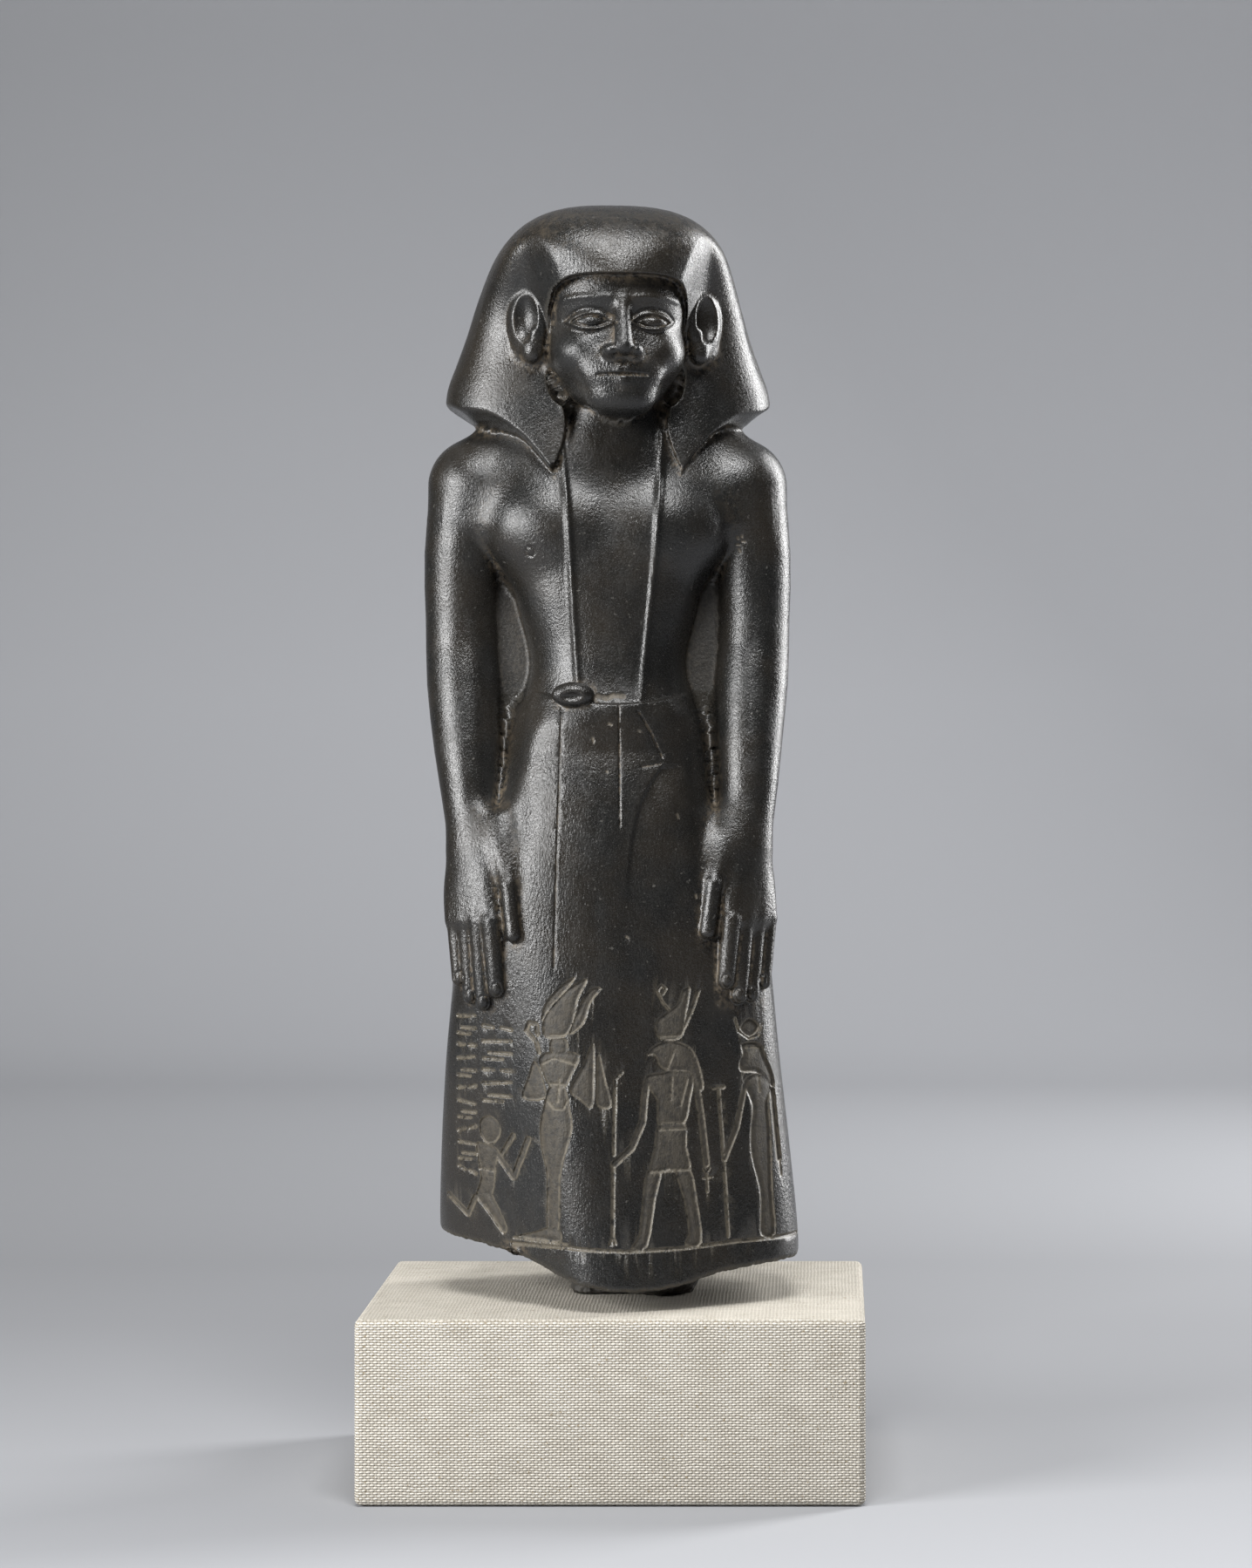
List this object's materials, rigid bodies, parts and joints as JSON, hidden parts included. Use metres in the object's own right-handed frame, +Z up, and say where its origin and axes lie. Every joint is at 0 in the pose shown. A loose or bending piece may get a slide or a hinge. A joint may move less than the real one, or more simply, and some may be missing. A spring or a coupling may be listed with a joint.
{
  "type": "stone statuette on block",
  "caption": "Dark polished stone statuette of a standing robed official, broken below the hem, held up on a linen-covered block.",
  "frame": {"origin": "middle of the block's underside", "axes": "+Z up along the figure, -Y the way the block faces and the figure very nearly faces, +X to the right of someone facing it"},
  "size_m": [0.137, 0.115, 0.3538],
  "materials": {
    "polished_stone": "fine-grained near-black stone, hand polished, with pale dirt in the sunk carving and the crevices",
    "linen": "natural plain-woven linen glued tight over a wooden block"
  },
  "bodies": {
    "root": {"stone_figure": "polished_stone", "linen_block": "linen"}
  },
  "joints": []
}
